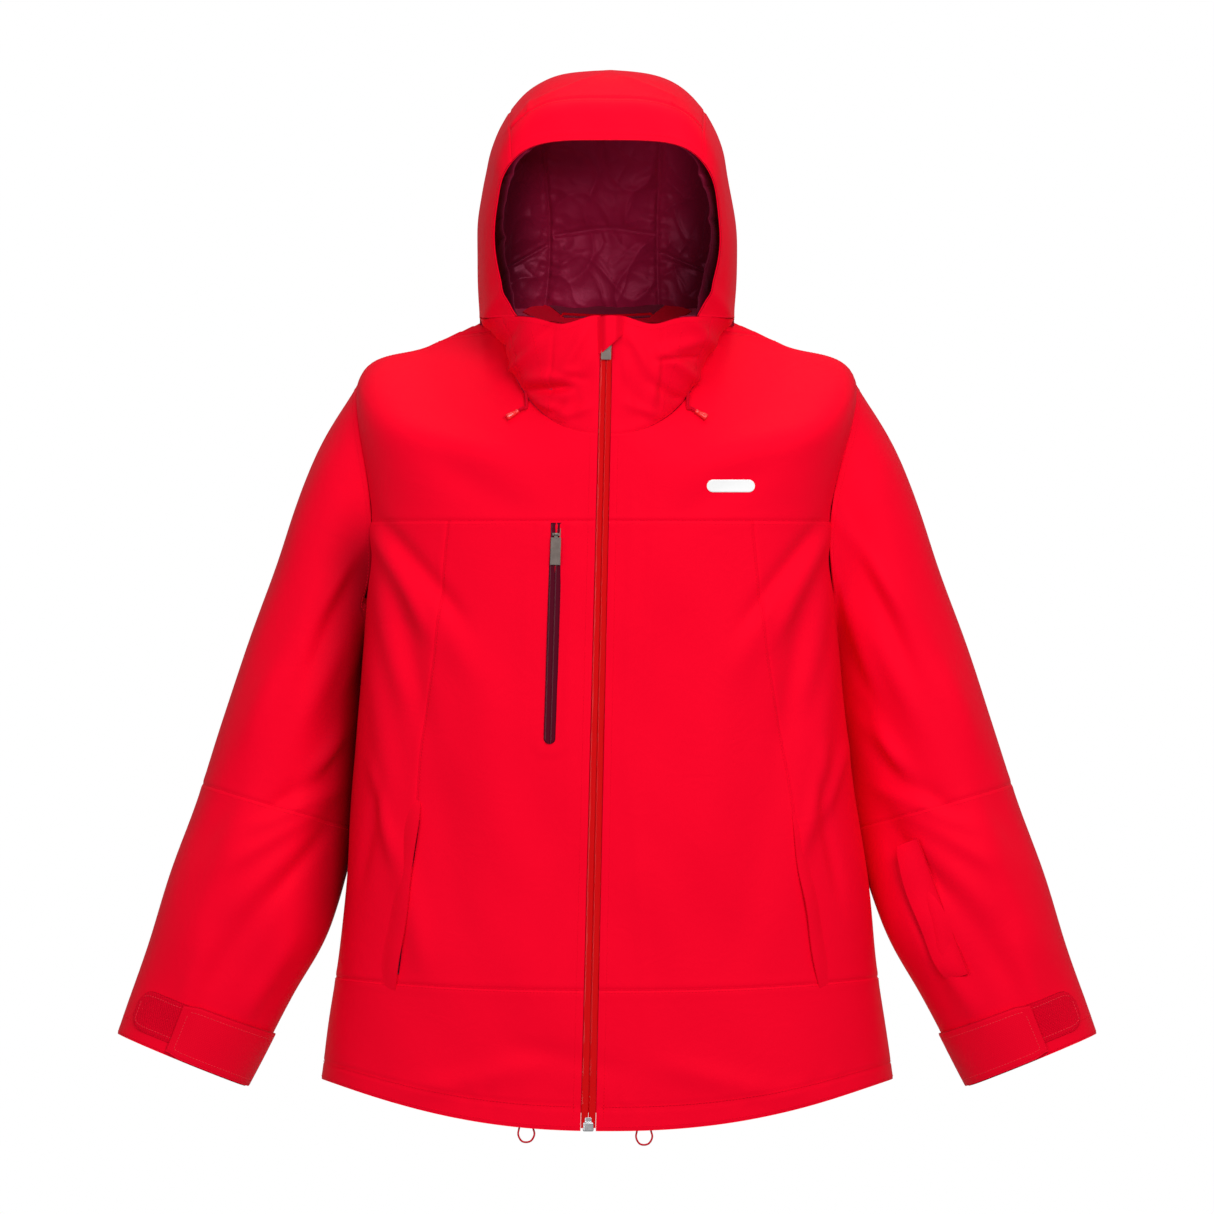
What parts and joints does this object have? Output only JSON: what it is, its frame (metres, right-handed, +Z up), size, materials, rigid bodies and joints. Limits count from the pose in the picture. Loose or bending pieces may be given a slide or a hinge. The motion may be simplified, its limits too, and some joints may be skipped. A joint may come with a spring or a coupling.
{
  "type": "hardshell jacket",
  "caption": "Hooded waterproof mountain jacket with a quilted lining, sealed front and pocket zips, storm collar, cuff tabs, and hood and hem drawcords.",
  "frame": {"origin": "inner face of the hanger loop at the back of the neck, from which the jacket hangs", "axes": "+Z up along the body, -Y out of the front, +X to the wearer's left"},
  "size_m": [0.9378, 0.2639, 1.021],
  "materials": {
    "shell_fabric": "matte woven waterproof shell with a fine face weave",
    "satin_lining": "smooth satin lining over quilted filling",
    "zip_laminate": "glossy waterproof zip laminate",
    "pocket_zip_laminate": "glossy dark waterproof zip laminate",
    "zip_metal": "worn gunmetal zip slider and pull",
    "retainer_metal": "silver zip box",
    "tab_fabric": "hook-and-loop and tape fabric",
    "cord": "braided elastic cord",
    "cord_tip": "moulded soft plastic cord end"
  },
  "bodies": {
    "jacket": {"front_yoke_left": "shell_fabric", "front_panel_left": "shell_fabric", "side_panel_left": "shell_fabric", "front_hem_panel_left": "shell_fabric", "collar_left": "shell_fabric", "hood_side_left": "shell_fabric", "upper_sleeve_left": "shell_fabric", "forearm_left": "shell_fabric", "hand_pocket_left_flap": "shell_fabric", "lining_front_left": "satin_lining", "sleeve_lining_left": "satin_lining", "main_zip_left": "zip_laminate", "hand_pocket_left_zip": "pocket_zip_laminate", "hood_cord_left": "cord", "hem_cord_left": "cord", "hood_cord_end_left": "cord_tip", "cuff_patch_left": "tab_fabric", "front_yoke_right": "shell_fabric", "front_panel_right": "shell_fabric", "side_panel_right": "shell_fabric", "front_hem_panel_right": "shell_fabric", "collar_right": "shell_fabric", "hood_side_right": "shell_fabric", "upper_sleeve_right": "shell_fabric", "forearm_right": "shell_fabric", "hand_pocket_right_flap": "shell_fabric", "lining_front_right": "satin_lining", "sleeve_lining_right": "satin_lining", "main_zip_right": "zip_laminate", "hand_pocket_right_zip": "pocket_zip_laminate", "hood_cord_right": "cord", "hem_cord_right": "cord", "hood_cord_end_right": "cord_tip", "cuff_patch_right": "tab_fabric", "back_yoke": "shell_fabric", "back_panel": "shell_fabric", "back_hem_panel": "shell_fabric", "hood_base": "shell_fabric", "hood_brim": "shell_fabric", "hood_crown": "shell_fabric", "zip_garage": "shell_fabric", "sleeve_pocket_flap": "shell_fabric", "lining_back": "satin_lining", "hood_lining": "satin_lining", "collar_facing": "satin_lining", "zip_retainer_box": "retainer_metal", "chest_zip": "pocket_zip_laminate", "sleeve_pocket_zip": "pocket_zip_laminate", "hanger_loop": "tab_fabric"},
    "main_slider": {"main_slider": "zip_metal"},
    "main_puller": {"main_puller": "zip_metal"},
    "chest_slider": {"chest_slider": "zip_metal"},
    "chest_puller": {"chest_puller": "zip_metal"},
    "hand_slider_left": {"hand_pocket_left_slider": "zip_metal"},
    "hand_slider_right": {"hand_pocket_right_slider": "zip_metal"},
    "sleeve_slider": {"sleeve_pocket_slider": "zip_metal"},
    "cuff_tab_left": {"cuff_tab_left": "tab_fabric"},
    "cuff_tab_right": {"cuff_tab_right": "tab_fabric"}
  },
  "joints": [
    {"name": "main_zip_slide", "type": "slide", "parent": "jacket", "child": "main_slider", "axis": [0.0233, 0, 0.9997], "range_m": [-0.715, 0]},
    {"name": "main_puller_flip", "type": "hinge", "parent": "main_slider", "child": "main_puller", "pos_m": [-0.00051, -0.20672, -0.03104], "axis": [-0.9997, 0, 0.0233], "range_deg": [0, 8]},
    {"name": "chest_zip_slide", "type": "slide", "parent": "jacket", "child": "chest_slider", "axis": [0.0309, 0, 0.9995], "range_m": [-0.185, 0]},
    {"name": "chest_puller_flip", "type": "hinge", "parent": "chest_slider", "child": "chest_puller", "pos_m": [-0.04834, -0.20625, -0.21405], "axis": [-0.9995, 0, 0.0309], "range_deg": [0, 150]},
    {"name": "hand_zip_slide_left", "type": "slide", "parent": "jacket", "child": "hand_slider_left", "axis": [-0.1597, -0.0508, 0.9859], "range_m": [-0.112, 0]},
    {"name": "hand_zip_slide_right", "type": "slide", "parent": "jacket", "child": "hand_slider_right", "axis": [0.1328, -0.051, 0.9898], "range_m": [-0.112, 0]},
    {"name": "sleeve_zip_slide", "type": "slide", "parent": "jacket", "child": "sleeve_slider", "axis": [-0.3545, 0.0327, 0.9345], "range_m": [-0.086, 0]},
    {"name": "cuff_tab_left_open", "type": "hinge", "parent": "jacket", "child": "cuff_tab_left", "pos_m": [0.33401, -0.11419, -0.70745], "axis": [0.4817, 0.0297, -0.8758], "range_deg": [0, 110]},
    {"name": "cuff_tab_right_open", "type": "hinge", "parent": "jacket", "child": "cuff_tab_right", "pos_m": [-0.33401, -0.11419, -0.70745], "axis": [0.4817, -0.0297, 0.8758], "range_deg": [0, 110]}
  ]
}
